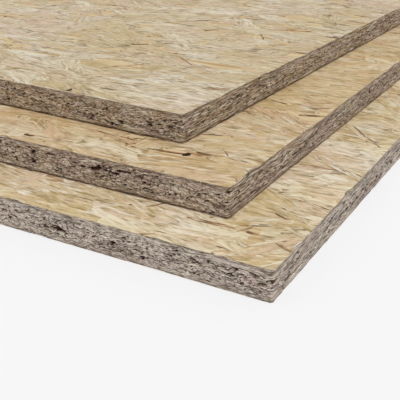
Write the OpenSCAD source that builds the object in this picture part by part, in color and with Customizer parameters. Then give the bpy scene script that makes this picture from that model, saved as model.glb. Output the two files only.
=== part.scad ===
// Stack of three square-edged oriented strand boards, lying flat on each
// other. Each board is one pressed and sawn piece, with its long edge along
// X, the way its face strands run. The boards above are set back from the
// near corner of the bottom board, and a little turned, as boards laid down
// by hand are.

/* [Board] */
// Length of a board, along its face strands
board_length = 1220; // [600:10:2500]
// Width of a board, across its face strands
board_width = 610; // [400:10:1250]
// Thickness of a board
board_thickness = 18; // [9:1:25]

/* [Middle board] */
// Setback of the middle board's near corner along the long edge
middle_setback_x = 41; // [0:1:120]
// Setback of the middle board's near corner along the short edge
middle_setback_y = 35; // [0:1:120]
// Clockwise turn of the middle board about its near corner, in degrees
middle_turn = 0.5; // [0:0.1:4]

/* [Top board] */
// Setback of the top board's near corner along the long edge
top_setback_x = 92; // [0:1:120]
// Setback of the top board's near corner along the short edge
top_setback_y = 76; // [0:1:120]
// Clockwise turn of the top board about its near corner, in degrees
top_turn = 2.2; // [0:0.1:4]

/* [Hidden] */

// Where each board lies: its layer, and its near corner's setback and turn
bottom_place = [0, 0, 0, 0];
middle_place = [1, middle_setback_x, middle_setback_y, middle_turn];
top_place = [2, top_setback_x, top_setback_y, top_turn];
places = [bottom_place, middle_place, top_place];

bottom_color = [0.78, 0.72, 0.64];
middle_color = [0.82, 0.74, 0.62];
top_color = [0.85, 0.77, 0.63];

// The near corner of a board, with the bottom board's near corner at zero
function near_corner(place) = [-place[1], place[2]];

// A point turned clockwise about zero
function turned(point, angle) = [
    point.x * cos(angle) + point.y * sin(angle),
    point.y * cos(angle) - point.x * sin(angle)
];

// The four corners of a board, seen from above
function corners(place) = [
    for (x = [-board_length, 0], y = [0, board_width])
        near_corner(place) + turned([x, y], place[3])
];

// The middle of the whole stack, seen from above, is the origin
all_corners = [for (place = places) each corners(place)];
all_x = [for (corner = all_corners) corner.x];
all_y = [for (corner = all_corners) corner.y];
stack_middle = [(min(all_x) + max(all_x)) / 2, (min(all_y) + max(all_y)) / 2];

module board(place) {
    corner = near_corner(place) - stack_middle;
    translate([corner.x, corner.y, place[0] * board_thickness])
        rotate([0, 0, -place[3]])
            translate([-board_length, 0, 0])
                cube([board_length, board_width, board_thickness]);
}

module panel_bottom() {
    color(bottom_color)
        board(bottom_place);
}

module panel_middle() {
    color(middle_color)
        board(middle_place);
}

module panel_top() {
    color(top_color)
        board(top_place);
}

panel_bottom();
panel_middle();
panel_top();
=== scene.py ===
import math
import random
from functools import partial

import bmesh
import bpy
from bpy.props import FloatProperty, FloatVectorProperty, IntProperty, PointerProperty
from mathutils import Matrix, Vector, noise


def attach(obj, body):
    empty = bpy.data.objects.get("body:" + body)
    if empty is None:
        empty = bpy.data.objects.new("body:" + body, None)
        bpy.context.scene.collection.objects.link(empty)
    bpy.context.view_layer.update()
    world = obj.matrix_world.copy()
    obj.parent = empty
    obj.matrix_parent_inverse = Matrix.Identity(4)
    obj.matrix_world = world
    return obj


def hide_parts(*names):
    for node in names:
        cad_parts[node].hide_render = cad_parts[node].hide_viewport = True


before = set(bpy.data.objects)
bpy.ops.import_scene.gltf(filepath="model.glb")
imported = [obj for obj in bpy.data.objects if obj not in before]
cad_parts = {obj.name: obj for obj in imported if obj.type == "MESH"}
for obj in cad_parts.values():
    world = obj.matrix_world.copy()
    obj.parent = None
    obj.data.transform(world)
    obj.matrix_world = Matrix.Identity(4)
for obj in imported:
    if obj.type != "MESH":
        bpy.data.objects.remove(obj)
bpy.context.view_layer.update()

bl_info = {
    "name": "Oriented strand board stack",
    "version": (1, 0, 0),
    "blender": (4, 5, 0),
    "location": "View3D > Sidebar > Board stack",
    "description": "Dresses a stack of plain boards with pressed face strands and sawn, layered edges",
    "category": "Object",
}

MM = 0.001
BOARDS = ("panel_bottom", "panel_middle", "panel_top")

# Single strands and knots that stand out near each board's near corner. Each has its place from
# that corner, its length and its width in millimetres, its turn in degrees, and its tint: up to
# 0.9 is clean wood, up to 1 is resin or bark, and past 1 is a knot
MARKS = {
    "panel_bottom": (
        (-45, 18, 44, 13, 8, 0.00), (-48, 28, 30, 3.0, 1, 0.97), (-21, 28, 15, 2.0, 2, 0.98),
        (-33, 24, 26, 1.3, 58, 0.96), (-19, 52, 11, 1.2, -18, 1.00), (-5, 22, 12, 2.2, -24, 0.97),
        (-21, 191, 46, 1.6, -48, 0.97), (-164, 30, 24, 7, 78, 0.90), (-82, 34, 16, 1.4, 58, 0.97)),
    "panel_middle": (
        (-88, 31, 28, 6, -10, 0.93), (-93, 34, 32, 2.0, -4, 1.00), (-71, 23, 12, 2.4, -8, 0.97),
        (-42, 29, 4, 5.0, 0, 1.10), (-32, 35, 17, 1.4, 5, 0.98), (-139, 9, 7, 2.4, 0, 1.05),
        (-135, 24, 50, 15, -33, 0.45), (-70, 50, 15, 1.2, -15, 0.99)),
    "panel_top": (
        (-86, 4, 5, 3.4, 80, 1.08), (-10, 54, 18, 6, 14, 0.96), (-60, 20, 26, 1.4, 12, 0.98)),
}


def srgb(text):
    """A hex colour such as #E0CFAE as linear red, green and blue."""
    parts = [int(text[i:i + 2], 16) / 255 for i in (1, 3, 5)]
    return tuple(p / 12.92 if p <= 0.04045 else ((p + 0.055) / 1.055) ** 2.4 for p in parts)


def add(tree, kind, links=None, **settings):
    """Adds a node to a tree, with its settings, and its inputs' values or links. A node given
    as an input stands for its first output in use."""
    node = tree.nodes.new(kind)
    for name, value in settings.items():
        setattr(node, name, value)
    for key, source in (links or {}).items():
        if isinstance(source, bpy.types.Node):
            source = next(s for s in source.outputs if s.enabled)
        if isinstance(source, bpy.types.NodeSocket):
            tree.links.new(source, node.inputs[key])
        else:
            node.inputs[key].default_value = source
    return node


class Board:
    """A board's place, read from its CAD node. In its own coordinates the near corner of the
    underside is zero, the board runs back along -X and +Y, and its top is at its thickness."""

    def __init__(self, node):
        corners = [v.co.copy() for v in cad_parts[node].data.vertices]
        near = max(corners, key=lambda c: c.x - c.y)
        left = min(corners, key=lambda c: c.x + c.y)
        back = max(corners, key=lambda c: c.x + c.y)
        low = min(c.z for c in corners)
        self.node = node
        self.name = node.replace("panel_", "")
        self.slot = node.replace("panel", "osb")
        self.level = BOARDS.index(node)
        self.length = (near - left).to_2d().length
        self.width = (back - near).to_2d().length
        self.thickness = max(c.z for c in corners) - low
        turn = math.atan2(near.y - left.y, near.x - left.x)
        self.matrix = Matrix.Translation((near.x, near.y, low)) @ Matrix.Rotation(turn, 4, "Z")

    def face_matrix(self, under):
        """Carries a face laid out with its surface at zero to the board's top or underside."""
        if not under:
            return self.matrix @ Matrix.Translation((0, 0, self.thickness))
        return self.matrix @ Matrix.Translation((0, self.width, 0)) @ Matrix.Rotation(math.pi, 4, "X")

    def inside(self, point):
        """How far inside the board's outline a point lies."""
        spot = self.matrix.inverted() @ point
        return min(-spot.x, self.length + spot.x, spot.y, self.width - spot.y)

    def against(self, under):
        """The board that lies on this one's top or underside, or None."""
        level = self.level + (-1 if under else 1)
        return Board(BOARDS[level]) if 0 <= level < len(BOARDS) else None


# Sizes and colours that a user would change


class StrandSettings(bpy.types.PropertyGroup):
    """The strands pressed into a board's two faces."""

    length: FloatProperty(
        name="Strand length", description="Usual length of a strand",
        default=78 * MM, min=0.02, unit="LENGTH")
    width: FloatProperty(
        name="Strand width", description="Usual width of a strand",
        default=18 * MM, min=0.002, unit="LENGTH")
    thickness: FloatProperty(
        name="Strand thickness", description="Thickness of a pressed strand",
        default=0.75 * MM, min=0.0001, unit="LENGTH")
    press: FloatProperty(
        name="Press depth", description="How far the lowest visible strand lies under the face",
        default=0.4 * MM, min=0.0, unit="LENGTH")
    rim: FloatProperty(
        name="Rim", description="Width of the strands along the edges of a face that a board covers",
        default=18 * MM, min=0.01, unit="LENGTH")
    lap: FloatProperty(
        name="Lap", description="How far the strands reach in under a board that covers them",
        default=38 * MM, min=0.0, unit="LENGTH")
    chip: FloatProperty(
        name="Chip", description="How far the rim of a face is chipped back from the sawn edge",
        default=0.5 * MM, min=0.0, unit="LENGTH")
    seed: IntProperty(name="Seed", description="Seed of the strands' places and shapes", default=9)
    sapwood: FloatVectorProperty(
        name="Sapwood", description="Colour of the palest strands",
        subtype="COLOR", size=3, default=srgb("#EDE3CF"))
    heartwood: FloatVectorProperty(
        name="Heartwood", description="Colour of the golden strands",
        subtype="COLOR", size=3, default=srgb("#D5BF97"))
    rosy: FloatVectorProperty(
        name="Rosy wood", description="Colour of the pinkish strands",
        subtype="COLOR", size=3, default=srgb("#DEC5AC"))
    resin: FloatVectorProperty(
        name="Resin", description="Colour of resinous strands and streaks",
        subtype="COLOR", size=3, default=srgb("#A88552"))
    bark: FloatVectorProperty(
        name="Bark", description="Colour of slivers and rims of bark",
        subtype="COLOR", size=3, default=srgb("#664732"))
    bottom_cast: FloatVectorProperty(
        name="Bottom cast", description="Cast over the bottom board's faces",
        subtype="COLOR", size=3, default=srgb("#FFFFFF"))
    middle_cast: FloatVectorProperty(
        name="Middle cast", description="Cast over the middle board's faces",
        subtype="COLOR", size=3, default=srgb("#F5EFE4"))
    top_cast: FloatVectorProperty(
        name="Top cast", description="Cast over the top board's faces",
        subtype="COLOR", size=3, default=srgb("#F1F1F0"))


class EdgeSettings(bpy.types.PropertyGroup):
    """The sawn edges."""

    column: FloatProperty(
        name="Column", description="Spacing of the edge's points along the board",
        default=1.6 * MM, min=0.0005, unit="LENGTH")
    row: FloatProperty(
        name="Row", description="Spacing of the edge's points up the board",
        default=0.75 * MM, min=0.0003, unit="LENGTH")
    corner: FloatProperty(
        name="Corner radius", description="Radius that handling has worn on the upright corners",
        default=2.0 * MM, min=0.0001, unit="LENGTH")
    void_depth: FloatProperty(
        name="Void depth", description="Depth of the voids between strands in the sawn edge",
        default=2.4 * MM, min=0.0, unit="LENGTH")
    looseness: FloatProperty(
        name="Looseness", description="How much more readily voids open in the middle board's edge",
        default=0.012, min=0.0)
    seed: IntProperty(name="Seed", description="Seed of the voids' and layers' places", default=3)
    relief: FloatProperty(
        name="Relief", description="Depth of the rough layers in the sawn edge",
        default=0.35 * MM, min=0.0, unit="LENGTH")
    chip_height: FloatProperty(
        name="Chip height", description="How far down from the upper arris the chips reach",
        default=4 * MM, min=0.0001, unit="LENGTH")
    arris: FloatProperty(
        name="Lower arris", description="How far the lower arris is worn back",
        default=0.4 * MM, min=0.0, unit="LENGTH")
    bottom_tone: FloatVectorProperty(
        name="Bottom edge", description="Tone of the bottom board's edge",
        subtype="COLOR", size=3, default=srgb("#AFA298"))
    middle_tone: FloatVectorProperty(
        name="Middle edge", description="Tone of the middle board's edge",
        subtype="COLOR", size=3, default=srgb("#9A8570"))
    top_tone: FloatVectorProperty(
        name="Top edge", description="Tone of the top board's edge",
        subtype="COLOR", size=3, default=srgb("#988061"))


class StageSettings(bpy.types.PropertyGroup):
    """The floor, the lights and the camera."""

    camera_offset: FloatVectorProperty(
        name="Camera place", description="Camera's place from the bottom board's near corner",
        subtype="TRANSLATION", unit="LENGTH", size=3, default=(113.1 * MM, -267.7 * MM, 185.3 * MM))
    heading: FloatProperty(
        name="Heading", description="Turn of the camera's view, counterclockwise from +Y",
        subtype="ANGLE", default=math.radians(29.44))
    dip: FloatProperty(
        name="Dip", description="How far the camera looks down",
        subtype="ANGLE", default=math.radians(24.69))
    lens: FloatProperty(
        name="Lens", description="Focal length on a 36 mm wide sensor", default=67.25, min=1.0)
    floor: FloatVectorProperty(
        name="Floor", description="Colour of the floor", subtype="COLOR", size=3, default=srgb("#F6F6F7"))
    horizon: FloatProperty(
        name="Horizon", description="Strength of the soft light from all round", default=0.95, min=0.0)
    zenith: FloatProperty(
        name="Zenith", description="Strength of the soft light from above", default=0.45, min=0.0)
    key: FloatProperty(
        name="Key light", description="Strength of the broad light from the front", default=2.12, min=0.0)


class StackSettings(bpy.types.PropertyGroup):
    """All the settings of the stack."""

    strand: PointerProperty(type=StrandSettings)
    edge: PointerProperty(type=EdgeSettings)
    stage: PointerProperty(type=StageSettings)


# Materials


def blank_material(name):
    """A new material with an empty tree."""
    material = bpy.data.materials.new(name)
    material.use_nodes = True
    material.node_tree.nodes.clear()
    return material, material.node_tree


def set_ramp(ramp, stops):
    """Gives a colour ramp its stops, each a place and a linear colour."""
    elements = ramp.color_ramp.elements
    while len(elements) < len(stops):
        elements.new(0.5)
    for element, (at, tone) in zip(elements, stops):
        element.position = at
        element.color = (*tone, 1.0)


def paint(tree, colour, layers):
    """Lays colours over a base. Each layer has its pattern, its colour, the pattern's values
    where the colour starts to show and where it shows in full, and how much it covers there."""
    for pattern, tone, start, full, cover in layers:
        share = add(tree, "ShaderNodeMapRange", {0: pattern, 1: start, 2: full, 3: 0.0, 4: cover})
        colour = add(tree, "ShaderNodeMix", {0: share, 6: colour, 7: (*tone, 1.0)}, data_type="RGBA")
    return colour


def strand_material(name, strand, cast):
    """Softwood strand, knife-cut and hot-pressed: pale cream to golden wood with fine straight
    grain along each strand, browner rims where resin gathered, and a dull pressed sheen."""
    material, tree = blank_material(name)
    node = partial(add, tree)
    grain = node("ShaderNodeAttribute", attribute_name="grain").outputs["Vector"]
    spot = node("ShaderNodeSeparateXYZ", {0: grain}).outputs
    own = node("ShaderNodeSeparateXYZ", {
        0: node("ShaderNodeAttribute", attribute_name="rim").outputs["Vector"]}).outputs
    place = node("ShaderNodeTexCoord").outputs["Object"]

    # The grain wanders by up to 3 mm from a straight line. Its third part is the strand's number,
    # which is spread well apart, so that no two strands share a pattern
    apart = 37
    waves = (1 / (50 * MM), 1 / (20 * MM), apart)
    stretched = node("ShaderNodeVectorMath", {0: grain, 1: waves}, operation="MULTIPLY")
    wander = node("ShaderNodeTexNoise", {"Vector": stretched, "Scale": 1.0})
    shift = node("ShaderNodeMapRange", {0: wander.outputs["Fac"], 3: -3 * MM, 4: 3 * MM})
    aside = node("ShaderNodeCombineXYZ", {1: shift})
    bent = node("ShaderNodeVectorMath", {0: grain, 1: aside}, operation="ADD")

    def drawn(along, across, detail=2.0, rough=0.5):
        """Noise drawn out along the grain, with features of this length and width in metres."""
        scale = (1 / along, 1 / across, apart)
        vector = node("ShaderNodeVectorMath", {0: bent, 1: scale}, operation="MULTIPLY")
        return node("ShaderNodeTexNoise", {
            "Vector": vector, "Scale": 1.0, "Detail": detail, "Roughness": rough}).outputs["Fac"]

    # Each strand has its own tone, and a few are slivers of bark, mottled along their length
    mottle = node("ShaderNodeMapRange", {
        0: drawn(9 * MM, 1.5 * MM), 1: 0.35, 2: 0.65, 3: -0.09, 4: 0.03})
    aged = node("ShaderNodeMath", {0: own[2], 1: mottle}, operation="ADD")
    base = node("ShaderNodeValToRGB", {0: own[2]})
    base.color_ramp.interpolation = "EASE"
    set_ramp(base, [
        (0.00, strand.sapwood), (0.15, strand.heartwood), (0.30, strand.sapwood),
        (0.45, strand.rosy), (0.60, strand.heartwood), (0.75, strand.sapwood),
        (0.88, strand.rosy)])

    # Growth rings 3 to 5 mm apart, fibres drawn coarser than real ones so that they show, and
    # the short waves that the knives leave
    rings = drawn(60 * MM, 4 * MM)
    fibres = drawn(16 * MM, 0.75 * MM, 3.0, 0.65)
    flecks = drawn(5 * MM, 1.1 * MM, 3.0, 0.6)
    chatter = drawn(12 * MM, 4 * MM, 2.0, 0.6)

    # A brown rim on each strand, broken up along it, and a pale band just inside the rim: fresh wood, and
    # painted highlight where a raised strand edge would catch the light
    from_rim = node("ShaderNodeMath", {
        0: own[1], 1: node("ShaderNodeMath", {0: spot[1]}, operation="ABSOLUTE")}, operation="SUBTRACT")
    from_end = node("ShaderNodeMath", {
        0: own[0], 1: node("ShaderNodeMath", {0: spot[0]}, operation="ABSOLUTE")}, operation="SUBTRACT")
    rim_line = node("ShaderNodeMapRange", {0: from_rim, 1: 1.3 * MM, 2: 0.2 * MM})
    end_line = node("ShaderNodeMapRange", {0: from_end, 1: 8 * MM, 2: 0.0, 3: 0.0, 4: 0.6})
    outline = node("ShaderNodeMath", {0: rim_line, 1: end_line}, operation="MAXIMUM")
    broken = node("ShaderNodeMapRange", {0: drawn(18 * MM, 14 * MM), 1: 0.47, 2: 0.6})
    line = node("ShaderNodeMath", {0: outline, 1: broken}, operation="MULTIPLY")
    inner = node("ShaderNodeMapRange", {0: from_rim, 1: 3.2 * MM, 2: 1.4 * MM})
    lifted = node("ShaderNodeMapRange", {0: drawn(22 * MM, 16 * MM, 1.0), 1: 0.5, 2: 0.62})
    fresh_and_highlight = node("ShaderNodeMath", {0: inner, 1: lifted}, operation="MULTIPLY")

    # Fine dark checks along the grain come in clusters
    check = node("ShaderNodeMapRange", {0: drawn(9 * MM, 1.4 * MM), 1: 0.57, 2: 0.67})
    cluster = node("ShaderNodeMapRange", {0: drawn(30 * MM, 14 * MM, 1.0), 1: 0.52, 2: 0.62})
    checks = node("ShaderNodeMath", {0: check, 1: cluster}, operation="MULTIPLY")

    # Small dark specks of bark 11 to 16 mm apart
    spread = node("ShaderNodeVectorMath", {
        0: place, 1: (1 / (16 * MM), 1 / (11 * MM), 1 / (11 * MM))}, operation="MULTIPLY")
    specks = node("ShaderNodeTexVoronoi", {"Vector": spread, "Scale": 1.0})

    pale, olive = srgb("#F6EEDD"), srgb("#98835A")
    colour = paint(tree, base, [
        (rings, srgb("#C0A26F"), 0.46, 0.68, 0.45),
        (drawn(28 * MM, 6 * MM), srgb("#E2C7AE"), 0.5, 0.64, 0.5),
        # Painted shade: broad olive patches stand for the shade of the strands' slight relief, over the
        # wood's own tone
        (drawn(22 * MM, 7 * MM), srgb("#B8A374"), 0.54, 0.68, 0.6),
        (fibres, olive, 0.48, 0.3, 0.5),
        (fibres, pale, 0.52, 0.72, 0.5),
        (chatter, olive, 0.43, 0.3, 0.6),
        (chatter, pale, 0.55, 0.68, 0.7),
        (flecks, olive, 0.42, 0.3, 0.55),
        (flecks, pale, 0.58, 0.7, 0.65),
        (drawn(18 * MM, 2.6 * MM), srgb("#9C8453"), 0.55, 0.66, 0.75),
        # Painted shade: smaller olive patches, as above
        (drawn(12 * MM, 5 * MM), olive, 0.58, 0.7, 0.5),
        (drawn(14 * MM, 3.0 * MM), pale, 0.56, 0.68, 0.65),
        # Painted highlight on fresh wood: the pale band just inside each strand's rim
        (fresh_and_highlight, pale, 0.0, 1.0, 0.7),
        (aged, strand.resin, 0.90, 0.94, 0.85),
        (aged, strand.bark, 0.94, 0.99, 0.85),
        (fibres, strand.heartwood, 0.62, 0.74, 0.5),
        (line, strand.bark, 0.0, 1.0, 0.8),
        (own[2], srgb("#2B1A0E"), 1.0, 1.1, 0.95),
        (checks, srgb("#6B4F2E"), 0.0, 1.0, 0.85),
        (specks.outputs["Distance"], strand.bark, 0.1, 0.05, 0.8)])

    # Slow drift of tone over the board, in patches about 80 mm across
    drift = node("ShaderNodeTexNoise", {
        "Vector": place, "W": 7.4, "Scale": 1 / (80 * MM), "Detail": 2.0}, noise_dimensions="4D")
    drift_tone = node("ShaderNodeValToRGB", {0: drift.outputs["Fac"]})
    set_ramp(drift_tone, [
        (0.3, srgb("#F2F0E8")), (0.42, srgb("#F8F3E2")), (0.58, srgb("#FFFFFF")),
        (0.7, srgb("#FFFAF8"))])
    for tone in (drift_tone, (*cast, 1.0)):
        colour = node("ShaderNodeMix", {0: 1.0, 6: colour, 7: tone}, data_type="RGBA",
                      blend_type="MULTIPLY")

    ridges = node("ShaderNodeMath", {0: fibres, 1: rings}, operation="ADD")
    height = node("ShaderNodeMath", {0: ridges, 1: checks}, operation="SUBTRACT")
    bump = node("ShaderNodeBump", {"Strength": 0.6, "Distance": 0.35 * MM, "Height": height})
    sheen = node("ShaderNodeMapRange", {0: rings, 1: 0.3, 2: 0.7, 3: 0.62, 4: 0.48})
    finish = node("ShaderNodeBsdfPrincipled", {
        "Base Color": colour, "Roughness": sheen, "Normal": bump, "IOR": 1.45,
        "Specular IOR Level": 0.25})
    node("ShaderNodeOutputMaterial", {0: finish})
    return material


def inner_strand_material(strand):
    """Strands of the next layer, seen only through slits between the face strands: the same wood
    in shade, so a little browner, with streaks 50 mm long and 3 mm wide along the board."""
    material, tree = blank_material("Inner strands, resin-darkened")
    place = add(tree, "ShaderNodeTexCoord").outputs["Object"]
    scale = (1 / (50 * MM), 3 / (10 * MM), 3 / (10 * MM))
    drawn = add(tree, "ShaderNodeVectorMath", {0: place, 1: scale}, operation="MULTIPLY")
    streaks = add(tree, "ShaderNodeTexNoise", {
        "Vector": drawn, "Scale": 1.0, "Detail": 3.0}).outputs["Fac"]
    colour = paint(tree, (*strand.heartwood, 1.0), [(streaks, strand.resin, 0.45, 0.65, 0.8)])
    bump = add(tree, "ShaderNodeBump", {"Strength": 0.5, "Distance": 0.3 * MM, "Height": streaks})
    finish = add(tree, "ShaderNodeBsdfPrincipled", {
        "Base Color": colour, "Roughness": 0.8, "Normal": bump})
    add(tree, "ShaderNodeOutputMaterial", {0: finish})
    return material


def edge_material(name, tone):
    """Sawn edge of pressed strands: end grain and side grain in layers up to 1 mm thick, dull
    grey brown from dust and weather, with dark pores where strands don't meet."""
    material, tree = blank_material(name)
    node = partial(add, tree)
    place = node("ShaderNodeTexCoord").outputs["Object"]
    void = node("ShaderNodeAttribute", attribute_name="void").outputs["Fac"]
    rise = node("ShaderNodeAttribute", attribute_name="rise").outputs["Fac"]
    grime = node("ShaderNodeAttribute", attribute_name="grime").outputs["Fac"]

    # The layers wander up and down by 2 mm as the strands cross each other, more slowly along the
    # short edges
    lumps = node("ShaderNodeVectorMath", {
        0: place, 1: (1 / (13 * MM), 1 / (40 * MM), 1 / (13 * MM))}, operation="MULTIPLY")
    wander = node("ShaderNodeTexNoise", {"Vector": lumps, "Scale": 1.0, "Detail": 2.0})
    upward = node("ShaderNodeVectorMath", {
        0: wander.outputs["Color"], 1: (0, 0, 4 * MM)}, operation="MULTIPLY")
    warped = node("ShaderNodeVectorMath", {0: place, 1: upward}, operation="ADD")

    def layered(along, up):
        """The place, scaled to features of this length and height in metres. They are three times
        as long along the short edges, where the inner strands show their length."""
        scale = (1 / along, 1 / (3 * along), 1 / up)
        return node("ShaderNodeVectorMath", {0: warped, 1: scale}, operation="MULTIPLY")

    def rough(along, up, detail=2.0):
        """Noise with features of this length and height."""
        return node("ShaderNodeTexNoise", {
            "Vector": layered(along, up), "Scale": 1.0, "Detail": detail, "Roughness": 0.6}).outputs["Fac"]

    # The outer layers are dense and lie in long lines, and the middle is loose
    off_middle = node("ShaderNodeMath", {0: rise, 1: 0.5}, operation="SUBTRACT")
    off_middle = node("ShaderNodeMath", {0: off_middle}, operation="ABSOLUTE")
    dense = node("ShaderNodeMapRange", {0: off_middle, 1: 0.28, 2: 0.42})
    loose = node("ShaderNodeMath", {0: 1.0, 1: dense}, operation="SUBTRACT")

    # Each cut strand has its own tone and a dark line round it
    strands = node("ShaderNodeTexVoronoi", {"Vector": layered(8 * MM, 1.0 * MM), "Scale": 1.0})
    own = node("ShaderNodeSeparateXYZ", {0: strands.outputs["Color"]}).outputs
    gaps = node("ShaderNodeTexVoronoi", {"Vector": layered(8 * MM, 1.0 * MM), "Scale": 1.0},
                feature="DISTANCE_TO_EDGE").outputs["Distance"]
    gap = node("ShaderNodeMapRange", {0: gaps, 1: 0.1, 2: 0.02})
    here = node("ShaderNodeMapRange", {0: rough(14 * MM, 3 * MM), 1: 0.44, 2: 0.6})
    gap_line = node("ShaderNodeMath", {0: gap, 1: here}, operation="MULTIPLY")

    # Pores, more of them in the loose middle
    pores = node("ShaderNodeMapRange", {0: rough(1.6 * MM, 0.62 * MM, 1.0), 1: 0.565, 2: 0.62})
    pore_share = node("ShaderNodeMapRange", {0: loose, 3: 0.35, 4: 1.0})
    pores = node("ShaderNodeMath", {0: pores, 1: pore_share}, operation="MULTIPLY")
    long_lines = node("ShaderNodeMath", {0: rough(16 * MM, 0.6 * MM), 1: dense}, operation="MULTIPLY")

    fibres = rough(2.8 * MM, 0.55 * MM, 3.0)
    splinters = rough(4.5 * MM, 0.45 * MM)
    pale, umber, pit = srgb("#DDD3C1"), srgb("#5B4936"), srgb("#301D14")
    colour = paint(tree, (*tone, 1.0), [
        (rough(26 * MM, 8 * MM, 1.0), srgb("#A38A86"), 0.48, 0.64, 0.45),
        (rough(22 * MM, 7 * MM, 1.0), srgb("#8E886C"), 0.44, 0.32, 0.4),
        (rough(11 * MM, 4 * MM, 1.0), srgb("#7A5A50"), 0.6, 0.72, 0.5),
        (own[0], umber, 0.55, 0.05, 0.45),
        (own[1], pale, 0.6, 1.0, 0.4),
        (own[2], srgb("#8C6F62"), 0.8, 1.0, 0.5),
        (fibres, umber, 0.47, 0.33, 0.85),
        (fibres, pale, 0.53, 0.68, 0.8),
        (splinters, pale, 0.57, 0.66, 0.7),
        (long_lines, umber, 0.5, 0.62, 0.6),
        (gap_line, pit, 0.0, 1.0, 0.75),
        (pores, pit, 0.0, 1.0, 0.9),
        # Painted shade: the voids are painted near black, over their real depth
        (void, srgb("#3A1B14"), 0.1, 0.7, 0.97),
        # Painted shade: a dark band along the lower arris for the contact shadow
        (grime, srgb("#2C1A0C"), 0.0, 0.7, 0.9)])

    dark = node("ShaderNodeMath", {0: pores, 1: gap_line}, operation="MAXIMUM")
    height = node("ShaderNodeMath", {0: fibres, 1: dark}, operation="SUBTRACT")
    bump = node("ShaderNodeBump", {"Strength": 0.6, "Distance": 0.4 * MM, "Height": height})
    finish = node("ShaderNodeBsdfPrincipled", {
        "Base Color": colour, "Roughness": 0.88, "Normal": bump, "IOR": 1.45,
        "Specular IOR Level": 0.2})
    node("ShaderNodeOutputMaterial", {0: finish})
    return material


def edge_name(board):
    """The name of a board's edge finish."""
    return f"Sawn strand edge, {board.name} board"


def floor_material(tone):
    """Frosted acrylic table lit from below, as studios use: plain, pale and nearly shadowless."""
    material, tree = blank_material("Frosted acrylic floor, lit from below")
    reflected, glow = 0.4, 0.6
    finish = add(tree, "ShaderNodeBsdfPrincipled", {
        "Base Color": (*(reflected * c for c in tone), 1.0), "Roughness": 0.9,
        "Specular IOR Level": 0.1, "Emission Color": (*tone, 1.0), "Emission Strength": glow})
    add(tree, "ShaderNodeOutputMaterial", {0: finish})
    return material


# Geometry Nodes trees


def new_tree(name, inputs):
    """A Geometry Nodes tree with a geometry in and out and the named inputs."""
    tree = bpy.data.node_groups.new(name, "GeometryNodeTree")
    tree.interface.new_socket("Geometry", in_out="INPUT", socket_type="NodeSocketGeometry")
    for label, kind in inputs.items():
        tree.interface.new_socket(label, in_out="INPUT", socket_type=f"NodeSocket{kind}")
    tree.interface.new_socket("Geometry", in_out="OUTPUT", socket_type="NodeSocketGeometry")
    return tree, tree.nodes.new("NodeGroupInput").outputs


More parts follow.
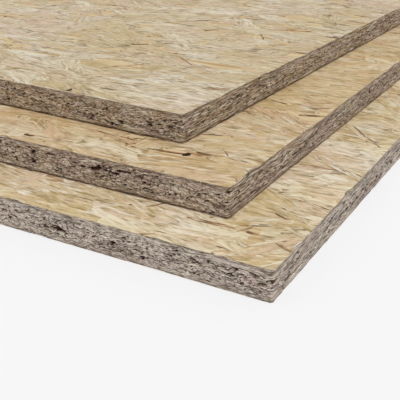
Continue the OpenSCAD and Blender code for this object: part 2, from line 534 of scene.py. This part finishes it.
def strand_tree():
    """One closed plate for each point: a strand of the point's size with splintered ends, laid at
    the point's turn and slope, and pressed down until none of it stands above zero."""
    tree, given = new_tree("Pressed strands", {
        "Outline points": "Int", "Thickness": "Float", "Fray": "Vector", "Seed": "Float",
        "Material": "Material"})
    node = partial(add, tree)

    placed = node("GeometryNodeStoreNamedAttribute", {
        "Geometry": given["Geometry"], "Name": "origin", "Value": node("GeometryNodeInputPosition")},
        data_type="FLOAT_VECTOR", domain="POINT")
    blank = node("GeometryNodeMeshCylinder", {
        "Vertices": given["Outline points"], "Radius": 1.0, "Depth": 1.0}, fill_type="NGON")
    blank = node("GeometryNodeStoreNamedAttribute", {
        "Geometry": blank.outputs["Mesh"], "Name": "outline", "Value": node("GeometryNodeInputPosition")},
        data_type="FLOAT_VECTOR", domain="POINT")
    laid = node("GeometryNodeInstanceOnPoints", {"Points": placed, "Instance": blank})
    plates = node("GeometryNodeRealizeInstances", {"Geometry": laid})

    origin, outline, half, shape, slope = (
        node("GeometryNodeInputNamedAttribute", {"Name": name}, data_type="FLOAT_VECTOR")
        for name in ("origin", "outline", "half", "shape", "slope"))
    number, tint = (
        node("GeometryNodeInputNamedAttribute", {"Name": name}, data_type="FLOAT")
        for name in ("number", "tint"))
    skew, bow, turn = node("ShaderNodeSeparateXYZ", {0: shape}).outputs
    on_blank = node("ShaderNodeSeparateXYZ", {0: outline}).outputs

    # The round blank becomes a square one
    extent = node("ShaderNodeVectorMath", {0: outline}, operation="ABSOLUTE")
    extent = node("ShaderNodeSeparateXYZ", {0: extent}).outputs
    reach = node("ShaderNodeMath", {0: extent[0], 1: extent[1]}, operation="MAXIMUM")
    along = node("ShaderNodeMath", {0: on_blank[0], 1: reach}, operation="DIVIDE")
    across = node("ShaderNodeMath", {0: on_blank[1], 1: reach}, operation="DIVIDE")
    square = node("ShaderNodeCombineXYZ", {0: along, 1: across})

    # The square becomes a strand: as long and wide as the point says, frayed, bowed and skewed
    ticket = node("ShaderNodeCombineXYZ", {0: along, 1: across, 2: number})
    luck = node("ShaderNodeTexWhiteNoise", {"Vector": ticket, "W": given["Seed"]},
                noise_dimensions="4D")
    lost = node("ShaderNodeVectorMath", {0: luck.outputs["Color"], 1: given["Fray"]}, operation="MULTIPLY")
    left = node("ShaderNodeVectorMath", {0: (1, 1, 1), 1: lost}, operation="SUBTRACT")
    sized = node("ShaderNodeVectorMath", {0: square, 1: half}, operation="MULTIPLY")
    frayed = node("ShaderNodeVectorMath", {0: sized, 1: left}, operation="MULTIPLY")
    frayed = node("ShaderNodeSeparateXYZ", {0: frayed}).outputs
    bent = node("ShaderNodeMath", {0: along, 1: along}, operation="MULTIPLY")
    y = node("ShaderNodeMath", {0: bent, 1: bow, 2: frayed[1]}, operation="MULTIPLY_ADD")
    x = node("ShaderNodeMath", {0: y, 1: skew, 2: frayed[0]}, operation="MULTIPLY_ADD")

    # It slopes a little, and the press flattens what would stand out. No two are pressed quite
    # alike, so that their faces never coincide
    spot = node("ShaderNodeCombineXYZ", {0: x, 1: y, 2: 1.0})
    free = node("ShaderNodeVectorMath", {0: spot, 1: slope}, operation="DOT_PRODUCT").outputs["Value"]
    platen = node("ShaderNodeMath", {0: number, 1: -0.002 * MM, 2: -0.01 * MM}, operation="MULTIPLY_ADD")
    top = node("ShaderNodeMath", {0: free, 1: platen}, operation="MINIMUM")
    share = node("ShaderNodeMath", {0: on_blank[2], 1: 0.5}, operation="SUBTRACT")
    z = node("ShaderNodeMath", {0: share, 1: given["Thickness"], 2: top}, operation="MULTIPLY_ADD")
    flat = node("ShaderNodeCombineXYZ", {0: x, 1: y, 2: z})
    turned = node("ShaderNodeVectorRotate", {"Vector": flat, "Angle": turn}, rotation_type="Z_AXIS")
    moved = node("ShaderNodeVectorMath", {0: origin, 1: turned}, operation="ADD")

    # The finish follows each strand's own grain and knows how far away its rim is
    half_size = node("ShaderNodeSeparateXYZ", {0: half}).outputs
    grain = node("GeometryNodeStoreNamedAttribute", {
        "Geometry": plates, "Name": "grain",
        "Value": node("ShaderNodeCombineXYZ", {0: x, 1: frayed[1], 2: number})},
        data_type="FLOAT_VECTOR", domain="POINT")
    rim = node("GeometryNodeStoreNamedAttribute", {
        "Geometry": grain, "Name": "rim",
        "Value": node("ShaderNodeCombineXYZ", {0: half_size[0], 1: half_size[1], 2: tint})},
        data_type="FLOAT_VECTOR", domain="POINT")
    shaped = node("GeometryNodeSetPosition", {"Geometry": rim, "Position": moved})
    coated = node("GeometryNodeSetMaterial", {"Geometry": shaped, "Material": given["Material"]})
    node("NodeGroupOutput", {0: coated})
    return tree


def core_tree():
    """The pressed board under its face strands: a closed slab with worn upright corners, whose
    sawn sides have rough layers and voids."""
    tree, given = new_tree("Sawn core", {
        "Length": "Float", "Width": "Float", "Low": "Float", "High": "Float",
        "Corner radius": "Float", "Columns": "Int", "Rows": "Int", "Void depth": "Float",
        "Looseness": "Float", "Relief": "Float", "Arris": "Float", "Contact shade": "Float", "Seed": "Float",
        "Edge": "Material", "Face": "Material"})
    node = partial(add, tree)

    # A sheet for the sides and a ring for each face, each point knowing its share of the way
    # round and of the way up
    position = node("ShaderNodeSeparateXYZ", {0: node("GeometryNodeInputPosition")}).outputs
    sheet = node("GeometryNodeMeshGrid", {
        "Size X": 1.0, "Size Y": 1.0, "Vertices Y": given["Rows"],
        "Vertices X": node("ShaderNodeMath", {0: given["Columns"], 1: 1.0}, operation="ADD")})
    ring = node("GeometryNodeMeshCircle", {"Vertices": given["Columns"], "Radius": 1.0}, fill_type="NGON")
    step = node("ShaderNodeMath", {
        0: node("GeometryNodeInputIndex"), 1: given["Columns"]}, operation="DIVIDE")
    pieces = []
    for source, way, rise in (
            (sheet.outputs["Mesh"], node("ShaderNodeMath", {0: position[0], 1: 0.5}, operation="ADD"),
             node("ShaderNodeMath", {0: position[1], 1: 0.5}, operation="ADD")),
            (ring, step, 1.0),
            (node("GeometryNodeFlipFaces", {"Mesh": ring}), step, 0.0)):
        marked = node("GeometryNodeStoreNamedAttribute", {
            "Geometry": source, "Name": "way", "Value": way}, data_type="FLOAT", domain="POINT")
        pieces.append(node("GeometryNodeStoreNamedAttribute", {
            "Geometry": marked, "Name": "rise", "Value": rise}, data_type="FLOAT", domain="POINT"))
    joined = node("GeometryNodeJoinGeometry")
    for piece in pieces:
        tree.links.new(piece.outputs["Geometry"], joined.inputs[0])

    # Each point goes to its place on the board's outline, with its worn corners, and up the board
    outline = node("GeometryNodeCurvePrimitiveQuadrilateral", {
        "Width": given["Length"], "Height": given["Width"]}, mode="RECTANGLE")
    worn = node("GeometryNodeFilletCurve", {
        "Curve": outline, "Radius": given["Corner radius"], "Count": 6}, mode="POLY")
    way = node("GeometryNodeInputNamedAttribute", {"Name": "way"}, data_type="FLOAT")
    rise = node("GeometryNodeInputNamedAttribute", {"Name": "rise"}, data_type="FLOAT")
    at = node("GeometryNodeSampleCurve", {"Curves": worn, "Factor": way}, mode="FACTOR",
              use_all_curves=True)
    height = node("ShaderNodeMapRange", {0: rise, 3: given["Low"], 4: given["High"]})
    upright = node("ShaderNodeCombineXYZ", {2: height})
    spot = node("ShaderNodeVectorMath", {0: at.outputs["Position"], 1: upright}, operation="ADD")

    def lumps(along, up, detail=1.0):
        """Noise with features of this length and height in metres."""
        scale = (1 / along, 1 / along, 1 / up)
        vector = node("ShaderNodeVectorMath", {0: spot, 1: scale}, operation="MULTIPLY")
        return node("ShaderNodeTexNoise", {
            "Vector": vector, "W": given["Seed"], "Scale": 1.0, "Detail": detail},
            noise_dimensions="4D").outputs[0]

    # Small voids and a few large ones lie in the loose middle of the board and come in clusters
    off_middle = node("ShaderNodeMath", {0: rise, 1: 0.5}, operation="SUBTRACT")
    off_middle = node("ShaderNodeMath", {0: off_middle}, operation="ABSOLUTE")
    dense = node("ShaderNodeMapRange", {0: off_middle, 1: 0.25, 2: 0.48, 3: 0.0, 4: 0.09})
    sparse = node("ShaderNodeMapRange", {
        0: lumps(45 * MM, 9 * MM), 1: 0.35, 2: 0.65, 3: 0.03, 4: -0.03})
    rarity = node("ShaderNodeMath", {0: dense, 1: sparse}, operation="ADD")
    rarity = node("ShaderNodeMath", {0: rarity, 1: given["Looseness"]}, operation="SUBTRACT")
    small = node("ShaderNodeMath", {0: lumps(3.2 * MM, 1.4 * MM), 1: 0.645}, operation="SUBTRACT")
    large = node("ShaderNodeMath", {0: lumps(7 * MM, 4 * MM), 1: 0.68}, operation="SUBTRACT")
    void = node("ShaderNodeMath", {0: small, 1: large}, operation="MAXIMUM")
    void = node("ShaderNodeMath", {0: void, 1: rarity}, operation="SUBTRACT")
    void = node("ShaderNodeMapRange", {0: void, 1: 0.0, 2: 0.06}, interpolation_type="SMOOTHSTEP")

    # The sides are rough and pitted by the voids. The lower arris is worn back, and a band of painted
    # shade darkens it for the contact shadow where the board rests
    grime = node("ShaderNodeMapRange", {0: rise, 1: 0.05, 2: 0.0})
    rough = node("ShaderNodeMath", {
        0: lumps(7 * MM, 1.5 * MM, 2.0), 1: given["Relief"]}, operation="MULTIPLY")
    pitted = node("ShaderNodeMath", {0: void, 1: given["Void depth"], 2: rough}, operation="MULTIPLY_ADD")
    depth = node("ShaderNodeMath", {0: grime, 1: given["Arris"], 2: pitted}, operation="MULTIPLY_ADD")
    beside = node("ShaderNodeVectorMath", {
        0: at.outputs["Tangent"], 1: (0, 0, 1)}, operation="CROSS_PRODUCT")
    facing = node("ShaderNodeVectorMath", {
        0: beside, 1: at.outputs["Position"]}, operation="DOT_PRODUCT").outputs["Value"]
    outward = node("ShaderNodeMath", {0: facing}, operation="SIGN")
    distance = node("ShaderNodeMath", {0: outward, 1: depth}, operation="MULTIPLY")
    inward = node("ShaderNodeVectorMath", {0: beside, "Scale": distance}, operation="SCALE")
    moved = node("ShaderNodeVectorMath", {0: spot, 1: inward}, operation="SUBTRACT")

    # The band's painted shade, as strong as the board's contact shade
    painted_shade = node("ShaderNodeMath", {0: grime, 1: given["Contact shade"]}, operation="MULTIPLY")
    for name, value in (("void", void), ("grime", painted_shade)):
        joined = node("GeometryNodeStoreNamedAttribute", {
            "Geometry": joined, "Name": name, "Value": value}, data_type="FLOAT", domain="POINT")
    shaped = node("GeometryNodeSetPosition", {"Geometry": joined, "Position": moved})
    closed = node("GeometryNodeMergeByDistance", {"Geometry": shaped, "Distance": 0.005 * MM})
    whole = node("GeometryNodeRealizeInstances", {"Geometry": closed})
    edged = node("GeometryNodeSetMaterial", {"Geometry": whole, "Material": given["Edge"]})

    # The two level faces have a finish of their own
    normal = node("ShaderNodeSeparateXYZ", {0: node("GeometryNodeInputNormal")}).outputs
    level = node("ShaderNodeMath", {0: normal[2]}, operation="ABSOLUTE")
    is_face = node("FunctionNodeCompare", {0: level, 1: 0.99}, data_type="FLOAT",
                   operation="GREATER_THAN")
    faced = node("GeometryNodeSetMaterial", {
        "Geometry": edged, "Selection": is_face, "Material": given["Face"]})
    node("NodeGroupOutput", {0: faced})
    return tree


# Making pieces

# A point this near a cut lies on it
ON_CUT = 0.001 * MM
# A rim's edge longer than this is divided, so that chips show in it
LONG_EDGE = 4 * MM


def grow(name, seed_mesh, tree, values):
    """Runs a tree on a mesh, and gives the result as a plain piece."""
    holder = bpy.data.objects.new(name + "_seed", seed_mesh)
    bpy.context.scene.collection.objects.link(holder)
    modifier = holder.modifiers.new("Grow", "NODES")
    modifier.node_group = tree
    for item in tree.interface.items_tree:
        if item.in_out == "INPUT" and item.name in values:
            modifier[item.identifier] = values[item.name]
    graph = bpy.context.evaluated_depsgraph_get()
    mesh = bpy.data.meshes.new_from_object(
        holder.evaluated_get(graph), preserve_all_data_layers=True, depsgraph=graph)
    bpy.data.objects.remove(holder)
    if not mesh.polygons:
        raise RuntimeError(f"{name} came out empty")
    while mesh.materials and mesh.materials[0] is None:
        mesh.materials.pop(index=0)
    mesh.name = name
    piece = bpy.data.objects.new(name, mesh)
    bpy.context.scene.collection.objects.link(piece)
    return piece


def chipped(spot):
    """How many times the usual chip the rim is chipped back at a spot: splinters about 3 mm long
    everywhere, and deeper chips about 18 mm long here and there."""
    flat = Vector((spot.x, spot.y, 0.0))
    splinter = abs(noise.noise(flat / (3 * MM)))
    rarity, depth = 0.2, 8
    chip = max(0.0, noise.noise(flat / (18 * MM)) - rarity)
    return splinter + depth * chip


def chip_rim(piece, board, chip, depth):
    """Chips a core's upper rim back under the chipped rim of its strands, ever less down to
    this depth. The core is in the board's own coordinates."""
    for vertex in piece.data.vertices:
        share = 1 - (board.thickness - vertex.co.z) / depth
        if share > 0:
            back = chip * share * chipped(vertex.co)
            vertex.co.x = min(max(vertex.co.x, back - board.length), -back)
            vertex.co.y = min(max(vertex.co.y, back), board.width - back)


def shells(bm):
    """The separate closed shells of a mesh, as lists of faces."""
    seen = set()
    for first in bm.faces:
        if first in seen:
            continue
        shell = [first]
        seen.add(first)
        for face in shell:
            for edge in face.edges:
                for other in edge.link_faces:
                    if other not in seen:
                        seen.add(other)
                        shell.append(other)
        yield shell


def inside_out(shell):
    """Whether a closed shell's faces point inwards."""
    start = shell[0].verts[0].co
    return sum((f.verts[0].co - start).dot(f.normal) * f.calc_area() for f in shell) <= 0


def saw(piece, cuts, finish, chip):
    """Saws off what lies past each cut, a point and a direction, and closes the cut ends with
    sawn finish. Then it chips the cuts back a little, so that the rim isn't ruled, and drops the
    slivers that this crushes."""
    piece.data.materials.append(finish)
    sawn_slot = len(piece.data.materials) - 1
    bm = bmesh.new()
    bm.from_mesh(piece.data)
    bmesh.ops.triangulate(bm, faces=bm.faces[:])
    for point, direction in cuts:
        parts = bm.verts[:] + bm.edges[:] + bm.faces[:]
        bmesh.ops.bisect_plane(bm, geom=parts, dist=0.1 * ON_CUT, plane_co=point,
                               plane_no=direction, clear_outer=True)
        open_edges = [e for e in bm.edges if e.is_boundary]
        caps = bmesh.ops.holes_fill(bm, edges=open_edges, sides=0)["faces"]
        for face in caps:
            face.material_index = sawn_slot
    bmesh.ops.recalc_face_normals(bm, faces=bm.faces[:])
    for point, direction in cuts:
        cut = {v for v in bm.verts if abs((v.co - point).dot(direction)) < ON_CUT}
        rim = [e for e in bm.edges if cut.issuperset(e.verts) and e.calc_length() > LONG_EDGE]
        bmesh.ops.subdivide_edges(bm, edges=rim, cuts=2)
        for vertex in bm.verts:
            if abs((vertex.co - point).dot(direction)) < ON_CUT:
                vertex.co -= direction * chip * chipped(vertex.co)
    bm.normal_update()
    crushed = [face for shell in shells(bm) if inside_out(shell) for face in shell]
    bmesh.ops.delete(bm, geom=crushed, context="FACES")
    bm.to_mesh(piece.data)
    bm.free()


def outline_cuts(board, inset, corner):
    """The cuts that trim a face to the board's outline: four sides, and the four worn corners."""
    cuts = []
    centre = Vector((-board.length / 2, board.width / 2, 0))
    for x, y in ((1, 0), (0, -1), (-1, 0), (0, 1), (1, -1), (-1, -1), (-1, 1), (1, 1)):
        reach = Vector((x * (board.length / 2 - inset), y * (board.width / 2 - inset), 0))
        direction = Vector((x, y, 0)).normalized()
        worn = corner * (math.sqrt(2) - 1) if x and y else 0.0
        cuts.append((centre + reach - direction * worn, direction))
    return cuts


def dress(piece, board):
    """Attaches a finished piece to the root body and hides the board's CAD part, which the piece stands
    for.
    """
    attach(piece, "root")
    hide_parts(board.node)


def sow_strands(board, strand, under, luck):
    """The strands of one face, as points with their numbers. Where another board covers the
    face, they lie along the rim and a little way in under that board."""
    points = []
    cover = board.against(under)
    to_world = board.face_matrix(under)
    # Strands lie close enough to overlap, and stray by these parts of a step and of a row
    row_gap = strand.width * 0.51
    step = strand.length * 0.6
    stray_along, stray_across = 0.35, 0.6
    for row in range(-1, math.ceil(board.width / row_gap) + 2):
        shift = luck.random()
        for column in range(-1, math.ceil(board.length / step) + 2):
            x = -(column + shift + luck.uniform(-stray_along, stray_along)) * step
            y = (row + luck.uniform(-stray_across, stray_across)) * row_gap
            spot = to_world @ Vector((x, y, 0))
            if cover and board.inside(spot) > strand.rim and cover.inside(spot) > strand.lap:
                continue
            points.append(one_strand(x, y, strand, luck))
    return points


def one_strand(x, y, strand, luck):
    """A strand's numbers: place, half size, shape, slope, tint and own number. Most strands lie
    along the board, and a part of them up to each of these shares is of another kind."""
    askew, crossing, narrow, sliver, splinter = 0.27, 0.33, 0.48, 0.54, 0.58
    kind = luck.random()
    length = strand.length * luck.uniform(0.6, 1.35)
    width = strand.width * luck.uniform(0.5, 1.6)
    turn = luck.gauss(0, math.radians(11))
    tint = luck.uniform(0.0, 0.92)
    height = -strand.press * luck.random()
    if kind < askew:
        turn = luck.gauss(0, math.radians(32))
    elif kind < crossing:
        turn = luck.uniform(-1.4, 1.4)
    elif kind < narrow:
        length *= 0.55
        width *= 0.3
        turn *= 2
        height *= 0.4
    elif kind < sliver:
        length *= 0.4
        width = luck.uniform(0.8, 2.4) * MM
        turn *= 2
        tint = luck.uniform(0.94, 1.0)
        height *= 0.1
    elif kind < splinter:
        length *= 0.25
        width = luck.uniform(0.8, 1.6) * MM
        turn *= 3
        tint = luck.uniform(0.97, 1.0)
        height *= 0.1
    return {
        "place": (x, y, 0.0),
        "half": (length / 2, width / 2, 0.0),
        "shape": (luck.uniform(-0.8, 0.8), luck.gauss(0, 1.2 * MM) * length / strand.length, turn),
        "slope": (luck.gauss(0, 0.002), luck.gauss(0, 0.008), height),
        "tint": tint,
        "number": luck.random() * 50,
    }


def marked_strands(board):
    """The strands and knots that stand out. Their low numbers lay them over the others."""
    strands = []
    for number, (x, y, length, width, turn, tint) in enumerate(MARKS[board.node]):
        strands.append({
            "place": (x * MM, y * MM, 0.0),
            "half": (length * MM / 2, width * MM / 2, 0.0),
            "shape": (0.5, 0.6 * MM, math.radians(turn)),
            "slope": (0.0, 0.0, 0.0),
            "tint": tint,
            "number": number * 0.1,
        })
    return strands


def seed_mesh(name, strands):
    """A mesh of loose points that carries each strand's numbers."""
    mesh = bpy.data.meshes.new(name)
    mesh.from_pydata([s["place"] for s in strands], [], [])
    for key in ("half", "shape", "slope"):
        layer = mesh.attributes.new(key, "FLOAT_VECTOR", "POINT")
        for item, strand in zip(layer.data, strands):
            item.vector = strand[key]
    for key in ("tint", "number"):
        layer = mesh.attributes.new(key, "FLOAT", "POINT")
        for item, strand in zip(layer.data, strands):
            item.value = strand[key]
    return mesh


class OSB_OT_cores(bpy.types.Operator):
    """Saw the edges of every board"""

    bl_idname = "osb.cores"
    bl_label = "Saw the edges"

    def execute(self, context):
        edge = context.scene.osb.edge
        strand = context.scene.osb.strand
        tree = core_tree()
        face = inner_strand_material(strand)
        tones = (edge.bottom_tone, edge.middle_tone, edge.top_tone)
        # The core's faces lie just under the lowest strands
        under_strands = 0.15 * MM
        sunk = strand.press + under_strands
        for node, tone in zip(BOARDS, tones):
            board = Board(node)
            name = f"{node}_core"
            # Painted shade along the lower arris for the contact shadow: full where a board rests on
            # another, weaker on the floor
            grime = 1.0 if board.against(True) else 0.3
            piece = grow(name, bpy.data.meshes.new(name), tree, {
                "Length": board.length, "Width": board.width, "Low": sunk,
                "High": board.thickness - sunk, "Corner radius": edge.corner,
                "Columns": round(2 * (board.length + board.width) / edge.column),
                "Rows": round(board.thickness / edge.row) + 1, "Void depth": edge.void_depth,
                "Looseness": edge.looseness if board.level == 1 else 0.0,
                "Relief": edge.relief, "Arris": edge.arris,
                "Contact shade": grime, "Seed": float(edge.seed + 7 * board.level),
                "Edge": edge_material(edge_name(board), tone), "Face": face})
            piece.data.transform(Matrix.Translation((-board.length / 2, board.width / 2, 0)))
            chip_rim(piece, board, strand.chip, edge.chip_height)
            piece.data.transform(board.matrix)
            dress(piece, board)
        return {"FINISHED"}


class OSB_OT_faces(bpy.types.Operator):
    """Lay the pressed strands on the faces of every board"""

    bl_idname = "osb.faces"
    bl_label = "Lay face strands"

    def execute(self, context):
        strand = context.scene.osb.strand
        edge = context.scene.osb.edge
        tree = strand_tree()
        casts = (strand.bottom_cast, strand.middle_cast, strand.top_cast)
        for node, cast in zip(BOARDS, casts):
            board = Board(node)
            finish = strand_material(
                f"Softwood strand, knife-cut and hot-pressed, {board.name} board", strand, cast)
            sawn = bpy.data.materials.get(edge_name(board))
            if sawn is None:
                raise RuntimeError("Saw the edges first: the strands' cut ends share their finish")
            for under in (False, True):
                side = board.level * 2 + under
                luck = random.Random(strand.seed * 10 + side)
                name = f"{node}_{'underside' if under else 'face'}_strands"
                strands = sow_strands(board, strand, under, luck)
                if not under:
                    strands += marked_strands(board)
                # The bottom board's underside lies on the floor, so its strands are plainer
                outline_points = 16 if under and board.level == 0 else 20
                piece = grow(name, seed_mesh(name, strands), tree, {
                    "Outline points": outline_points, "Thickness": strand.thickness,
                    "Fray": (0.2, 0.3, 0.0), "Seed": float(side), "Material": finish})
                clear_of_arris = 0.2 * MM
                inset = edge.arris + clear_of_arris if under else 0.0
                saw(piece, outline_cuts(board, inset, edge.corner), sawn, strand.chip)
                piece.data.transform(board.face_matrix(under))
                dress(piece, board)
        return {"FINISHED"}


class OSB_OT_stage(bpy.types.Operator):
    """Lay the floor and set the lights and the camera"""

    bl_idname = "osb.stage"
    bl_label = "Set the stage"

    def execute(self, context):
        stage = context.scene.osb.stage
        context.scene.view_settings.view_transform = "Standard"
        self.lay_floor(context.scene, stage)
        self.light(context.scene, stage)
        self.place_camera(context.scene, stage)
        return {"FINISHED"}

    def lay_floor(self, scene, stage):
        reach = 60.0
        corners = [(x * reach, y * reach, 0) for x, y in ((-1, -1), (1, -1), (1, 1), (-1, 1))]
        mesh = bpy.data.meshes.new("floor")
        mesh.from_pydata(corners, [], [(0, 1, 2, 3)])
        mesh.materials.append(floor_material(stage.floor))
        floor = bpy.data.objects.new("floor", mesh)
        scene.collection.objects.link(floor)

    def light(self, scene, stage):
        """A white room, dimmer overhead, and one broad light high over the near corner."""
        world = bpy.data.worlds.new("Studio")
        scene.world = world
        world.use_nodes = True
        tree = world.node_tree
        tree.nodes.clear()
        sky = add(tree, "ShaderNodeTexCoord").outputs["Generated"]
        way = add(tree, "ShaderNodeSeparateXYZ", {0: sky}).outputs
        strength = add(tree, "ShaderNodeMapRange", {
            0: way["Z"], 1: 0.02, 2: 0.5, 3: stage.horizon, 4: stage.zenith})
        background = add(tree, "ShaderNodeBackground", {
            "Color": (1.0, 1.0, 1.0, 1.0), "Strength": strength})
        add(tree, "ShaderNodeOutputWorld", {"Surface": background})
        lamp = bpy.data.lights.new("Key", "SUN")
        lamp.energy = stage.key
        lamp.angle = math.radians(40)
        over_the_corner = Vector((-1.35, 1.25, -2.4))
        key = bpy.data.objects.new("Key", lamp)
        key.rotation_euler = over_the_corner.to_track_quat("-Z", "Y").to_euler()
        scene.collection.objects.link(key)

    def place_camera(self, scene, stage):
        near = Board(BOARDS[0]).matrix.translation
        lens = bpy.data.cameras.new("Camera")
        lens.sensor_width = 36.0
        lens.lens = stage.lens
        lens.clip_start = 0.01
        camera = bpy.data.objects.new("Camera", lens)
        camera.location = near + Vector(stage.camera_offset)
        camera.rotation_euler = (math.pi / 2 - stage.dip, 0.0, stage.heading)
        scene.collection.objects.link(camera)
        scene.camera = camera


class OSB_PT_stack(bpy.types.Panel):
    """Buttons that build the stack"""

    bl_idname = "OSB_PT_stack"
    bl_label = "Board stack"
    bl_space_type = "VIEW_3D"
    bl_region_type = "UI"
    bl_category = "Board stack"

    def draw(self, context):
        for operator in OPERATORS:
            self.layout.operator(operator.bl_idname)


OPERATORS = (OSB_OT_cores, OSB_OT_faces, OSB_OT_stage)
CLASSES = (StrandSettings, EdgeSettings, StageSettings, StackSettings, *OPERATORS, OSB_PT_stack)


def register():
    for item in CLASSES:
        bpy.utils.register_class(item)
    bpy.types.Scene.osb = PointerProperty(type=StackSettings)


def unregister():
    del bpy.types.Scene.osb
    for item in reversed(CLASSES):
        bpy.utils.unregister_class(item)


def main():
    """Builds the whole stack."""
    register()
    bpy.ops.osb.cores()
    bpy.ops.osb.faces()
    bpy.ops.osb.stage()


if __name__ == "__main__":
    main()
